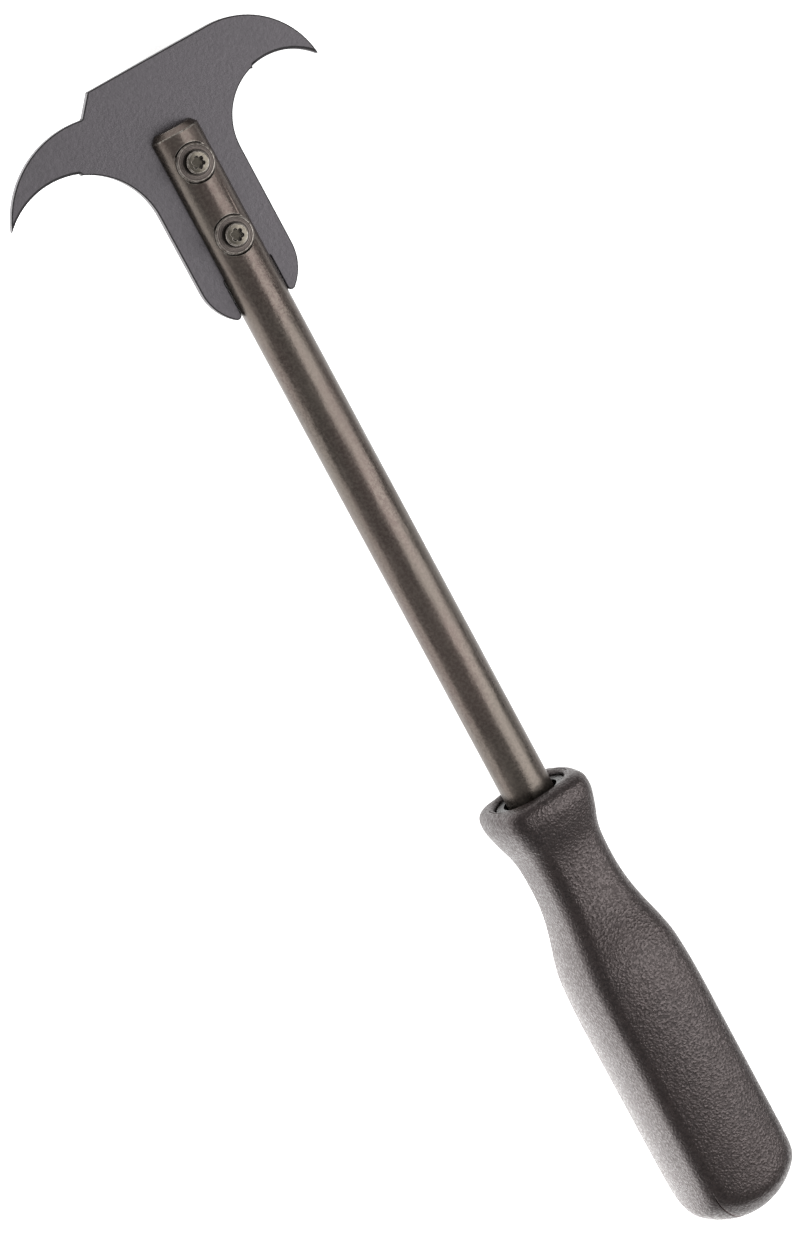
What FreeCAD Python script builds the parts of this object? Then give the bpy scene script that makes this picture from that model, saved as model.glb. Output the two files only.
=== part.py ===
"""Seal puller: a two-hooked blade clamped in the slit end of a round steel shaft, on a square-section handle.

The shaft's hook end is slit along its length. The blade's tang lies in the slit, and a slot in the tang
straddles the solid part of the shaft. Two low-head screws, each on a thick washer sunk in a spot face, pass
through the near half of the shaft and the blade and hold in tapped holes in the far half. The shaft's tail has
two flats and sits in a hard plastic core, and a soft grip covers the core.

Millimetres. Every piece is drawn about its own axis, with Y = 0 where the handle's lip ends and +Y towards the
hooks. The pieces are then placed so that +Z is up, the shaft's axis lies level along Y, and the origin is in
the middle of the handle's flat underside, on which the tool rests.
"""

import FreeCAD
import Part

import math
import os

import Sketcher

Vector = FreeCAD.Vector

# Each driving dimension: its alias in the sheet, its value, and what it measures.
DIMENSIONS = (
    # The shaft
    ("shaft_diameter", 12.7, "round bar, half an inch"),
    ("shaft_length", 267.9, "hook end to tail end"),
    ("shaft_reach", 184.2, "handle's lip to the hook end"),
    ("hook_end_bevel", 1.5, "bevel round the hook end"),
    ("tail_bevel", 1.0, "bevel round the tail end"),
    ("tail_across_flats", 9.8, "across the two flats inside the core"),
    ("tail_flat_length", 25.0, "length of the flats, from the tail end"),
    ("slit_length", 38.1, "hook end to the bottom of the slit"),
    ("slit_clearance", 0.05, "gap on each side of the blade"),
    ("slit_drop", 0.9, "the middle of the slit and of the blade, below the shaft's axis"),
    # The blade's tang
    ("blade_thickness", 3.2, "plate"),
    ("tang_width", 25.4, "width of the tang, and the diameter of its round end"),
    ("slot_clearance", 0.15, "gap between the tang's slot and the shaft, each side"),
    ("slot_seat_gap", 0.1, "gap between the tang's slot and the bottom of the slit"),
    ("prong_round", 1.1, "rounding of the inner corner of each prong"),
    # The blade's head, measured from the middle of the tang's round end
    ("head_height", 54.8, "to the straight top edge"),
    ("notch_top", 13.7, "left end of the top edge, from the axis"),
    ("notch_bottom", 18.0, "foot of the notch, from the axis"),
    ("wide_back_radius", 24.8, "outer arc of the wide hook, on the left"),
    ("wide_back_across", 22.7, "its centre, from the axis"),
    ("wide_back_up", 25.4, "its centre, up the blade"),
    ("wide_throat_radius", 19.2, "arc between the wide hook and the tang"),
    ("wide_throat_up", 20.7, "its centre, up the blade"),
    ("wide_relief", 0.35, "step from the throat to the ground inner edge"),
    ("wide_step", 24.3, "place of that step, from the axis"),
    ("narrow_back_radius", 20.8, "outer arc of the narrow hook, on the right"),
    ("narrow_back_across", 19.6, "its centre, from the axis"),
    ("narrow_throat_radius", 15.6, "arc between the narrow hook and the tang"),
    ("narrow_throat_up", 25.9, "its centre, up the blade"),
    ("narrow_relief", 0.1, "step from the throat to the ground inner edge"),
    ("narrow_step", 24.3, "place of that step, from the axis"),
    ("ground_bevel", 0.35, "bevel on the ground inner edge of each hook"),
    # The two screws and their washers
    ("screw_from_end", 9.6, "hook end to the first screw"),
    ("screw_spacing", 19.4, "between the two screws"),
    ("screw_diameter", 3.5, "thread's outer diameter"),
    ("screw_length", 12.5, "under the head"),
    ("screw_tip_bevel", 0.4, "bevel at the end of the thread"),
    ("screw_head_diameter", 5.6, "round head"),
    ("screw_head_height", 2.2, "low head"),
    ("screw_head_bevel", 0.25, "bevel round the head"),
    ("recess_across_lobes", 3.27, "six-lobed drive, point to point"),
    ("recess_core", 2.34, "six-lobed drive, across the hollows"),
    ("recess_depth", 1.3, "six-lobed drive"),
    ("screw_hole_clearance", 0.2, "gap round the thread in the plain holes"),
    ("tapped_hole_clearance", 0.03, "gap round the thread in the tapped holes"),
    ("washer_diameter", 9.5, "outer diameter"),
    ("washer_thickness", 1.55, "thick, turned"),
    ("washer_bevel", 0.3, "bevel round its upper edge"),
    ("spot_face_height", 4.9, "seat of the washers, above the shaft's axis"),
    ("spot_face_clearance", 0.2, "gap round the washer in the spot face"),
    # The grip's outside: distance back from the lip and half width, station by station
    ("rim_back", 4.6, "lip to the widest part of the rim"),
    ("rim_half", 12.25, "half width there, and at the lip before its rounding"),
    ("flare_back", 9.0, "lip to the middle of the flare"),
    ("flare_half", 11.35, "half width there"),
    ("waist_back", 14.6, "lip to the waist"),
    ("waist_half", 9.75, "half width there"),
    ("neck_back", 22.6, "lip to the neck, the thinnest place"),
    ("neck_half", 9.2, "half width there"),
    ("rise_back", 31.0, "lip to the start of the rise"),
    ("rise_half", 9.7, "half width there"),
    ("swell_back", 36.8, "lip to the foot of the shoulder"),
    ("swell_half", 10.8, "half width there"),
    ("haunch_back", 42.0, "lip to the middle of the shoulder"),
    ("haunch_half", 12.15, "half width there"),
    ("shoulder_back", 47.0, "lip to the top of the shoulder"),
    ("shoulder_half", 13.2, "half width there"),
    ("crest_back", 53.0, "lip to just behind the shoulder"),
    ("crest_half", 13.72, "half width there"),
    ("body_back", 60.0, "lip to where the flats become straight"),
    ("body_half", 14.0, "half width across the flats of the body"),
    ("corner_round", 5.0, "rounding of the four long corners"),
    ("lip_round", 3.1, "rounding of the lip"),
    ("grip_length", 122.6, "lip to butt"),
    ("butt_margin", 0.1, "the butt's side arc starts this far outside the long corners"),
    ("butt_side_ratio", 0.792, "radius of that arc, over its distance from the axis where it starts"),
    ("butt_dome_ratio", 1.046, "radius of the domed end, over the same distance"),
    ("mouth_clearance", 0.4, "gap between the core's front ring and the grip's mouth"),
    ("mouth_round", 0.5, "rounding of the mouth's edge"),
    # The hard core inside the grip
    ("core_back", 1.2, "lip to the core's front face"),
    ("mouth_gap", 0.95, "gap round the shaft at the wide start of the bore"),
    ("ring_wall", 1.9, "wall of the front ring, seen in the mouth"),
    ("flange_back", 4.0, "lip to the flange"),
    ("flange_step", 1.4, "height of the flange over the ring; the grip's lip holds it"),
    ("flange_thickness", 2.4, "flange"),
    ("sleeve_wall", 1.4, "wall of the thin sleeve through the neck"),
    ("sleeve_back", 12.5, "lip to where the sleeve becomes straight"),
    ("block_back", 46.0, "lip to the square block"),
    ("block_end", 108.0, "lip to the end of the square block"),
    ("block_half", 9.6, "half width of the square block"),
    ("block_round", 2.5, "rounding of its corners"),
    ("core_clearance", 0.1, "gap between the core and the grip"),
    ("mouth_bore_back", 5.0, "lip to the end of the wide start"),
    ("mouth_cone_length", 2.6, "from there down to the plain bore"),
    ("bore_clearance", 0.05, "gap between the shaft and the core"),
    ("tail_gap", 0.2, "gap between the end of the shaft and the bore's floor"),
    # How the tool lies
    ("rest_back", 79.0, "lip to the origin, along the flat underside"),
    ("blade_turn", 8.0, "degrees between the blade and the handle's flats"),
)

# The grip's loft passes through these, from behind the lip to the straight body.
GRIP_STATIONS = (
    "rim", "flare", "waist", "neck", "rise", "swell", "haunch", "shoulder", "crest", "body",
)

NEAR = 1e-4  # two places closer than this are the same


def make_sheet(doc):
    """The spreadsheet that every piece takes its sizes from."""
    sheet = doc.addObject("Spreadsheet::Sheet", "dims")
    for row, (alias, value, note) in enumerate(DIMENSIONS, start=1):
        sheet.set(f"A{row}", note)
        sheet.set(f"B{row}", str(value))
        sheet.setAlias(f"B{row}", alias)
    doc.recompute()
    return sheet


class Dims:
    """Reads the sheet's numbers by alias, so that geometry is drawn where its constraints will hold it."""

    def __init__(self, sheet):
        self._sheet = sheet

    def __getattr__(self, alias):
        return float(getattr(self._sheet, alias))


def on_circle(centre, radius, x):
    """The upper point of a circle at a given x."""
    return Vector(x, centre.y + math.sqrt(radius**2 - (x - centre.x) ** 2))


def circles_meet(first, first_radius, second, second_radius, side):
    """Where two circles meet, on the side where x has the sign of side."""
    gap = second.sub(first)
    along = (gap.Length**2 + first_radius**2 - second_radius**2) / (2 * gap.Length)
    across = math.sqrt(first_radius**2 - along**2)
    unit = Vector(gap.x, gap.y).normalize()
    foot = first + unit * along
    normal = Vector(-unit.y, unit.x)
    found = (foot + normal * across, foot - normal * across)
    return max(found, key=lambda point: side * point.x)


class Outline:
    """A closed outline in a sketch, drawn piece after piece and joined end to end."""

    def __init__(self, sketch):
        self.sketch = sketch
        self.pieces = []
        self.smooth = []

    def line(self, start, end, smooth=False):
        index = self.sketch.addGeometry(Part.LineSegment(start, end), False)
        self.pieces.append((index, 1, 2))
        self.smooth.append(smooth)
        return index

    def arc(self, centre, start, end, clockwise, smooth=False):
        first, last = (end, start) if clockwise else (start, end)
        from_angle = math.atan2(first.y - centre.y, first.x - centre.x)
        to_angle = math.atan2(last.y - centre.y, last.x - centre.x)
        if to_angle < from_angle:
            to_angle += 2 * math.pi
        circle = Part.Circle(centre, Vector(0, 0, 1), first.sub(centre).Length)
        index = self.sketch.addGeometry(Part.ArcOfCircle(circle, from_angle, to_angle), False)
        self.pieces.append((index, 2, 1) if clockwise else (index, 1, 2))
        self.smooth.append(smooth)
        return index

    def close(self):
        """Joins each piece to the one before it: tangent where it was drawn smooth."""
        for place, (index, start, _) in enumerate(self.pieces):
            before, _, end = self.pieces[place - 1]
            kind = "Tangent" if self.smooth[place] else "Coincident"
            self.sketch.addConstraint(Sketcher.Constraint(kind, before, end, index, start))


def start_of(outline, place):
    """(geometry, end) of the point where a piece of an outline starts."""
    index, start, _ = outline.pieces[place]
    return index, start


def hold(sketch, spot, x=None, y=None):
    """Holds a point of a sketch at x and y, each an expression on the sheet."""
    index, end = spot
    now = sketch.getPoint(index, end)
    for kind, axis, value, expression in (("DistanceX", -2, now.x, x), ("DistanceY", -1, now.y, y)):
        if expression == "0":
            sketch.addConstraint(Sketcher.Constraint("PointOnObject", index, end, axis))
        elif expression is not None:
            number = sketch.addConstraint(Sketcher.Constraint(kind, -1, 1, index, end, value))
            sketch.setExpression(f"Constraints[{number}]", expression)


def hold_radius(sketch, index, expression):
    radius = sketch.Geometry[index].Radius
    number = sketch.addConstraint(Sketcher.Constraint("Radius", index, radius))
    sketch.setExpression(f"Constraints[{number}]", expression)


def level(sketch, index):
    sketch.addConstraint(Sketcher.Constraint("Horizontal", index))


def upright(sketch, index):
    sketch.addConstraint(Sketcher.Constraint("Vertical", index))


def new_body(doc, name):
    body = doc.addObject("PartDesign::Body", name)
    body.Label = name
    return body


def new_sketch(body, name, plane, offset=None):
    """A sketch on one of the body's origin planes, moved along that plane's normal by offset."""
    sketch = body.newObject("Sketcher::SketchObject", name)
    support = next(item for item in body.Origin.OriginFeatures if item.Role == plane)
    sketch.AttachmentSupport = [(support, "")]
    sketch.MapMode = "FlatFace"
    if offset is not None:
        sketch.setExpression("AttachmentOffset.Base.z", offset)
    return sketch


def draw_polygon(sketch, corners):
    """A closed polygon whose corners are pairs of (value, expression) for x and y."""
    outline = Outline(sketch)
    points = [Vector(x[0], y[0]) for x, y in corners]
    for start, end in zip(points, points[1:] + points[:1]):
        outline.line(start, end)
    outline.close()
    for place, (x, y) in enumerate(corners):
        hold(sketch, start_of(outline, place), x[1], y[1])
    return outline


def draw_circle(sketch, x, y, radius):
    """A circle whose centre and radius are pairs of (value, expression)."""
    circle = Part.Circle(Vector(x[0], y[0]), Vector(0, 0, 1), radius[0])
    index = sketch.addGeometry(circle, False)
    hold(sketch, (index, 3), x[1], y[1])
    hold_radius(sketch, index, radius[1])


def draw_rounded_square(sketch, half, corner):
    """A square centred on the origin with round corners; half and corner are pairs of (value, expression)."""
    outline = Outline(sketch)
    edge = half[0] - corner[0]
    for turn in range(4):
        spin = FreeCAD.Rotation(Vector(0, 0, 1), -90 * turn)
        left, right = spin.multVec(Vector(-edge, half[0])), spin.multVec(Vector(edge, half[0]))
        centre, below = spin.multVec(Vector(edge, edge)), spin.multVec(Vector(half[0], edge))
        outline.line(left, right, smooth=True)
        outline.arc(centre, right, below, clockwise=True, smooth=True)
    outline.close()
    for turn, (x, y) in enumerate((("", "1"), ("1", ""), ("", "-1"), ("-1", ""))):
        side, arc = outline.pieces[2 * turn][0], outline.pieces[2 * turn + 1][0]
        hold(sketch, (side, 1), f"{x}*({half[1]})" if x else None, f"{y}*({half[1]})" if y else None)
        (upright if x else level)(sketch, side)
        hold_radius(sketch, arc, corner[1])
    return outline


def add_feature(body, kind, name, sketch=None, cuts=False, **settings):
    """A PartDesign feature. A setting given as text is an expression. A cut has to remove material."""
    before = body.Shape.Volume if cuts else 0.0
    feature = body.newObject(f"PartDesign::{kind}", name)
    if sketch is not None:
        feature.Profile = sketch
        sketch.Visibility = False
    for key, value in settings.items():
        if isinstance(value, str) and key != "Type":
            feature.setExpression(key, value)
        else:
            setattr(feature, key, value)
    body.Tip = feature
    body.Document.recompute()
    if cuts and body.Shape.Volume > before - NEAR:
        raise ValueError(f"{body.Label}: {name} removed nothing")
    return feature


def revolve(body, name, sketch):
    """A full turn of a half section about its sketch's vertical axis."""
    return add_feature(body, "Revolution", name, sketch, ReferenceAxis=(sketch, ["V_Axis"]), Angle=360.0)


def turn_away(body, name, sketch):
    """Removes a full turn of a half section about its sketch's vertical axis."""
    axis = (sketch, ["V_Axis"])
    return add_feature(body, "Groove", name, sketch, cuts=True, ReferenceAxis=axis, Angle=360.0)


def edges_where(feature, test):
    """Names of the edges of a feature's shape all of whose sample points pass the test."""
    found = []
    for number, edge in enumerate(feature.Shape.Edges, start=1):
        if not edge.Degenerated and all(test(point) for point in edge.discretize(Number=5)):
            found.append(f"Edge{number}")
    if not found:
        raise ValueError(f"{feature.Name} has no such edges")
    return found


def place_body(body, turned):
    """Lays a body in the tool's frame; the hook end's pieces are also turned about the shaft's axis."""
    body.Placement = FreeCAD.Placement(Vector(0, 0, 0), FreeCAD.Rotation(Vector(0, 1, 0), 0))
    if turned:
        body.setExpression("Placement.Rotation.Angle", "-dims.blade_turn")
    body.setExpression("Placement.Base.y", "dims.rest_back")
    body.setExpression("Placement.Base.z", "dims.body_half")


def build_shaft(doc, d):
    """Round bar with bevelled ends, the blade's slit, spot faces, screw holes and two flats at the tail."""
    body = new_body(doc, "shaft")
    radius = d.shaft_diameter / 2
    tip, tail = d.shaft_reach, d.shaft_reach - d.shaft_length
    tail_text = "dims.shaft_reach - dims.shaft_length"
    round_text = "dims.shaft_diameter/2"
    bevel = d.hook_end_bevel
    profile = new_sketch(body, "shaft_profile", "XY_Plane")
    draw_polygon(
        profile,
        (
            ((0, "0"), (tail, tail_text)),
            ((radius - d.tail_bevel, round_text + " - dims.tail_bevel"), (tail, tail_text)),
            ((radius, round_text), (tail + d.tail_bevel, tail_text + " + dims.tail_bevel")),
            ((radius, round_text), (tip - bevel, "dims.shaft_reach - dims.hook_end_bevel")),
            ((radius - bevel, round_text + " - dims.hook_end_bevel"), (tip, "dims.shaft_reach")),
            ((0, "0"), (tip, "dims.shaft_reach")),
        ),
    )
    revolve(body, "shaft_bar", profile)

    slit = new_sketch(body, "slit_outline", "YZ_Plane")
    half = d.blade_thickness / 2 + d.slit_clearance
    half_text = "(dims.blade_thickness/2 + dims.slit_clearance)"
    floor = (-d.slit_drop - half, f"-dims.slit_drop - {half_text}")
    roof = (-d.slit_drop + half, f"-dims.slit_drop + {half_text}")
    bottom, bottom_text = tip - d.slit_length, "dims.shaft_reach - dims.slit_length"
    past, past_text = tip + radius, "dims.shaft_reach + " + round_text
    draw_polygon(
        slit,
        (
            ((bottom, bottom_text), floor),
            ((past, past_text), floor),
            ((past, past_text), roof),
            ((bottom, bottom_text), roof),
        ),
    )
    across_shaft = {"cuts": True, "Type": "Length", "Midplane": True, "Length": "2*dims.shaft_diameter"}
    add_feature(body, "Pocket", "slit", slit, **across_shaft)

    flats = new_sketch(body, "flats_outline", "YZ_Plane")
    across, start = d.tail_across_flats / 2, tail - radius
    start_text = tail_text + " - dims.shaft_diameter/2"
    end, end_text = tail + d.tail_flat_length, tail_text + " + dims.tail_flat_length"
    for side in (1, -1):
        draw_polygon(
            flats,
            (
                ((start, start_text), (side * across, f"{side}*dims.tail_across_flats/2")),
                ((end, end_text), (side * across, f"{side}*dims.tail_across_flats/2")),
                ((end, end_text), (side * 2 * radius, f"{side}*dims.shaft_diameter")),
                ((start, start_text), (side * 2 * radius, f"{side}*dims.shaft_diameter")),
            ),
        )
    add_feature(body, "Pocket", "tail_flats", flats, **across_shaft)

    seat = (d.washer_diameter / 2 + d.spot_face_clearance, "dims.washer_diameter/2 + dims.spot_face_clearance")
    cut_screw_holes(body, d, "spot_faces", "dims.spot_face_height", seat, upwards=True)
    cut_screw_holes(body, d, "plain_holes", None, plain_hole(d), upwards=True)
    thread = (
        d.screw_diameter / 2 + d.tapped_hole_clearance, "dims.screw_diameter/2 + dims.tapped_hole_clearance"
    )
    cut_screw_holes(body, d, "tapped_holes", None, thread, upwards=False)
    place_body(body, turned=True)
    return body


def screw_places(d):
    """(y, expression for y) of the two screws, first the one nearest the hook end."""
    return tuple(
        (
            d.shaft_reach - d.screw_from_end - count * d.screw_spacing,
            f"dims.shaft_reach - dims.screw_from_end - {count}*dims.screw_spacing",
        )
        for count in (0, 1)
    )


def plain_hole(d):
    """(radius, expression for it) of the holes that the screws pass through freely."""
    return d.screw_diameter / 2 + d.screw_hole_clearance, "dims.screw_diameter/2 + dims.screw_hole_clearance"


def cut_screw_holes(body, d, name, height, radius, upwards):
    """Two round holes across the shaft at the screws, from a level up or down through its surface."""
    sketch = new_sketch(body, name + "_circles", "XY_Plane", height)
    for place in screw_places(d):
        draw_circle(sketch, (0, "0"), place, radius)
    add_feature(
        body, "Pocket", name, sketch, cuts=True, Type="Length", Length="dims.shaft_diameter", Reversed=upwards
    )


def build_blade(doc, d):
    """Flat plate: a slotted tang with a round end, and a hook each side of a straight top edge."""
    body = new_body(doc, "hook_blade")
    sketch = new_sketch(body, "blade_outline", "XY_Plane")
    tang, slot = d.tang_width / 2, d.shaft_diameter / 2 + d.slot_clearance
    slot_text = "(dims.shaft_diameter/2 + dims.slot_clearance)"

    wide_back = Vector(-d.wide_back_across, d.wide_back_up)
    wide_throat = Vector(-tang - d.wide_throat_radius, d.wide_throat_up)
    wide_ground = d.wide_throat_radius + d.wide_relief
    narrow_back = Vector(d.narrow_back_across, d.head_height - d.narrow_back_radius)
    narrow_throat = Vector(tang + d.narrow_throat_radius, d.narrow_throat_up)
    narrow_ground = d.narrow_throat_radius + d.narrow_relief

    notch_foot = on_circle(wide_back, d.wide_back_radius, -d.notch_bottom)
    notch_head = Vector(-d.notch_top, d.head_height)
    top_end = Vector(d.narrow_back_across, d.head_height)
    narrow_tip = circles_meet(narrow_back, d.narrow_back_radius, narrow_throat, narrow_ground, 1)
    wide_tip = circles_meet(wide_back, d.wide_back_radius, wide_throat, wide_ground, -1)
    prong = Vector(slot, -math.sqrt(tang**2 - slot**2))

    outline = Outline(sketch)
    outline.line(notch_foot, notch_head)
    top = outline.line(notch_head, top_end)
    back = outline.arc(narrow_back, top_end, narrow_tip, clockwise=True, smooth=True)
    ground = outline.arc(
        narrow_throat, narrow_tip, on_circle(narrow_throat, narrow_ground, d.narrow_step), clockwise=False
    )
    step = outline.line(
        on_circle(narrow_throat, narrow_ground, d.narrow_step),
        on_circle(narrow_throat, d.narrow_throat_radius, d.narrow_step),
    )
    throat = outline.arc(
        narrow_throat, on_circle(narrow_throat, d.narrow_throat_radius, d.narrow_step),
        Vector(tang, d.narrow_throat_up), clockwise=False,
    )
    side = outline.line(Vector(tang, d.narrow_throat_up), Vector(tang, 0), smooth=True)
    end = outline.arc(Vector(0, 0), Vector(tang, 0), prong, clockwise=True, smooth=True)
    slot_side = outline.line(prong, Vector(slot, 0))
    slot_top = outline.line(Vector(slot, 0), Vector(-slot, 0))
    far_slot_side = outline.line(Vector(-slot, 0), Vector(-prong.x, prong.y))
    far_end = outline.arc(Vector(0, 0), Vector(-prong.x, prong.y), Vector(-tang, 0), clockwise=True)
    far_side = outline.line(Vector(-tang, 0), Vector(-tang, d.wide_throat_up), smooth=True)
    far_throat = outline.arc(
        wide_throat, Vector(-tang, d.wide_throat_up),
        on_circle(wide_throat, d.wide_throat_radius, -d.wide_step), clockwise=False, smooth=True,
    )
    far_step = outline.line(
        on_circle(wide_throat, d.wide_throat_radius, -d.wide_step),
        on_circle(wide_throat, wide_ground, -d.wide_step),
    )
    far_ground = outline.arc(
        wide_throat, on_circle(wide_throat, wide_ground, -d.wide_step), wide_tip, clockwise=False
    )
    far_back = outline.arc(wide_back, wide_tip, notch_foot, clockwise=True)
    outline.close()

    hold(sketch, (outline.pieces[0][0], 1), x="-dims.notch_bottom")
    hold(sketch, (top, 1), "-dims.notch_top", "dims.head_height")
    level(sketch, top)
    hold(sketch, (back, 3), x="dims.narrow_back_across")
    hold_radius(sketch, back, "dims.narrow_back_radius")
    hold(sketch, (throat, 3), y="dims.narrow_throat_up")
    hold_radius(sketch, throat, "dims.narrow_throat_radius")
    sketch.addConstraint(Sketcher.Constraint("Coincident", ground, 3, throat, 3))
    hold_radius(sketch, ground, "dims.narrow_throat_radius + dims.narrow_relief")
    hold(sketch, (step, 1), x="dims.narrow_step")
    upright(sketch, step)
    hold(sketch, (side, 2), "dims.tang_width/2", "0")
    upright(sketch, side)
    hold(sketch, (end, 3), "0")
    sketch.addConstraint(Sketcher.Constraint("Coincident", end, 3, far_end, 3))
    sketch.addConstraint(Sketcher.Constraint("Equal", end, far_end))
    hold(sketch, (slot_side, 2), slot_text, "0")
    upright(sketch, slot_side)
    hold(sketch, (slot_top, 2), "-" + slot_text, "0")
    upright(sketch, far_slot_side)
    hold(sketch, (far_side, 1), y="0")
    hold(sketch, (far_throat, 3), y="dims.wide_throat_up")
    hold_radius(sketch, far_throat, "dims.wide_throat_radius")
    sketch.addConstraint(Sketcher.Constraint("Coincident", far_ground, 3, far_throat, 3))
    hold_radius(sketch, far_ground, "dims.wide_throat_radius + dims.wide_relief")
    hold(sketch, (far_step, 1), x="-dims.wide_step")
    upright(sketch, far_step)
    hold(sketch, (far_back, 3), "-dims.wide_back_across", "dims.wide_back_up")
    hold_radius(sketch, far_back, "dims.wide_back_radius")
    plate = add_feature(
        body, "Pad", "plate", sketch, Type="Length", Midplane=True, Length="dims.blade_thickness"
    )

    holes = new_sketch(body, "blade_holes", "XY_Plane")
    seat = d.shaft_reach - d.slit_length + d.slot_seat_gap
    for y, text in screw_places(d):
        place = (y - seat, text + " - dims.shaft_reach + dims.slit_length - dims.slot_seat_gap")
        draw_circle(holes, (0, "0"), place, plain_hole(d))
    drilled = add_feature(
        body, "Pocket", "screw_holes", holes, cuts=True, Type="Length", Midplane=True,
        Length="2*dims.blade_thickness",
    )

    def along_ground(point):
        """On one face's rim of either hook's ground inner edge."""
        on_face = abs(abs(point.z) - d.blade_thickness / 2) < NEAR
        wide = abs(math.dist((point.x, point.y), (wide_throat.x, wide_throat.y)) - wide_ground) < NEAR
        narrow = abs(math.dist((point.x, point.y), (narrow_throat.x, narrow_throat.y)) - narrow_ground) < NEAR
        return on_face and ((wide and point.x < 0) or (narrow and point.x > 0))

    bevel = body.newObject("PartDesign::Chamfer", "ground_edges")
    bevel.Base = (drilled, edges_where(drilled, along_ground))
    bevel.setExpression("Size", "dims.ground_bevel")
    body.Tip = bevel
    doc.recompute()

    def at(place):
        return lambda point: math.dist((point.x, point.y), (place.x, place.y)) < d.ground_bevel

    prongs = body.newObject("PartDesign::Fillet", "prong_corners")
    both = edges_where(bevel, at(prong)) + edges_where(bevel, at(Vector(-prong.x, prong.y)))
    prongs.Base = (bevel, both)
    prongs.setExpression("Radius", "dims.prong_round")
    body.Tip = prongs
    doc.recompute()
    place_on_shaft(body, "dims.shaft_reach - dims.slit_length + dims.slot_seat_gap", "-dims.slit_drop")
    return body


def build_screw(doc, d, name, place_text):
    """Low-head screw with a six-lobed drive, drawn along Z with the head's seat at zero."""
    body = new_body(doc, name)
    head, stem = d.screw_head_diameter / 2, d.screw_diameter / 2
    bevel, point = d.screw_head_bevel, d.screw_tip_bevel
    head_text, stem_text = "dims.screw_head_diameter/2", "dims.screw_diameter/2"
    top = (d.screw_head_height, "dims.screw_head_height")
    end = (-d.screw_length, "-dims.screw_length")
    profile = new_sketch(body, name + "_profile", "XZ_Plane")
    draw_polygon(
        profile,
        (
            ((0, "0"), end),
            ((stem - point, stem_text + " - dims.screw_tip_bevel"), end),
            ((stem, stem_text), (end[0] + point, end[1] + " + dims.screw_tip_bevel")),
            ((stem, stem_text), (0, "0")),
            ((head, head_text), (0, "0")),
            ((head, head_text), (top[0] - bevel, top[1] + " - dims.screw_head_bevel")),
            ((head - bevel, head_text + " - dims.screw_head_bevel"), top),
            ((0, "0"), top),
        ),
    )
    revolve(body, name + "_blank", profile)

    core = new_sketch(body, name + "_recess_core", "XY_Plane", "dims.screw_head_height")
    draw_circle(core, (0, "0"), (0, "0"), (d.recess_core / 2, "dims.recess_core/2"))
    sunk = {"cuts": True, "Type": "Length", "Length": "dims.recess_depth"}
    add_feature(body, "Pocket", name + "_recess", core, **sunk)
    lobe = new_sketch(body, name + "_recess_lobe", "XY_Plane", "dims.screw_head_height")
    reach = (d.recess_across_lobes - d.recess_core) / 2
    draw_circle(
        lobe, (0, "0"), (d.recess_across_lobes / 2 - reach, "dims.recess_core/2"),
        (reach, "(dims.recess_across_lobes - dims.recess_core)/2"),
    )
    cut = add_feature(body, "Pocket", name + "_lobe", lobe, **sunk)
    lobes = body.newObject("PartDesign::PolarPattern", name + "_lobes")
    lobes.Originals = [cut]
    lobes.Axis = (lobe, ["N_Axis"])
    lobes.Angle = 360
    lobes.Occurrences = 6
    body.Tip = lobes
    doc.recompute()
    place_on_shaft(body, place_text, "dims.spot_face_height + dims.washer_thickness")
    return body


def build_washer(doc, d, name, place_text):
    """Thick washer with a bevelled upper edge, drawn along Z with its underside at zero."""
    body = new_body(doc, name)
    inner, inner_text = plain_hole(d)
    outer, outer_text = d.washer_diameter / 2, "dims.washer_diameter/2"
    rise, bevel = d.washer_thickness, d.washer_bevel
    profile = new_sketch(body, name + "_profile", "XZ_Plane")
    draw_polygon(
        profile,
        (
            ((inner, inner_text), (0, "0")),
            ((outer, outer_text), (0, "0")),
            ((outer, outer_text), (rise - bevel, "dims.washer_thickness - dims.washer_bevel")),
            ((outer - bevel, outer_text + " - dims.washer_bevel"), (rise, "dims.washer_thickness")),
            ((inner, inner_text), (rise, "dims.washer_thickness")),
        ),
    )
    revolve(body, name + "_ring", profile)
    place_on_shaft(body, place_text, "dims.spot_face_height")
    return body


def place_on_shaft(body, along, height):
    """Stands a piece across the shaft: along is its y from the lip, height its seat above the shaft's axis."""
    place_body(body, turned=True)
    body.setExpression("Placement.Base.x", f"-({height}) * sin(dims.blade_turn * 1deg)")
    body.setExpression("Placement.Base.y", f"dims.rest_back + {along}")
    body.setExpression("Placement.Base.z", f"dims.body_half + ({height}) * cos(dims.blade_turn * 1deg)")


def core_radii(d):
    """Radii of the core, each as (value, expression), built outwards from the shaft."""
    shaft = d.shaft_diameter / 2
    bore = (shaft + d.bore_clearance, "dims.shaft_diameter/2 + dims.bore_clearance")
    mouth = (shaft + d.mouth_gap, "dims.shaft_diameter/2 + dims.mouth_gap")
    ring = (mouth[0] + d.ring_wall, mouth[1] + " + dims.ring_wall")
    flange = (ring[0] + d.flange_step, ring[1] + " + dims.flange_step")
    sleeve = (bore[0] + d.sleeve_wall, bore[1] + " + dims.sleeve_wall")
    return bore, mouth, ring, flange, sleeve


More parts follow.
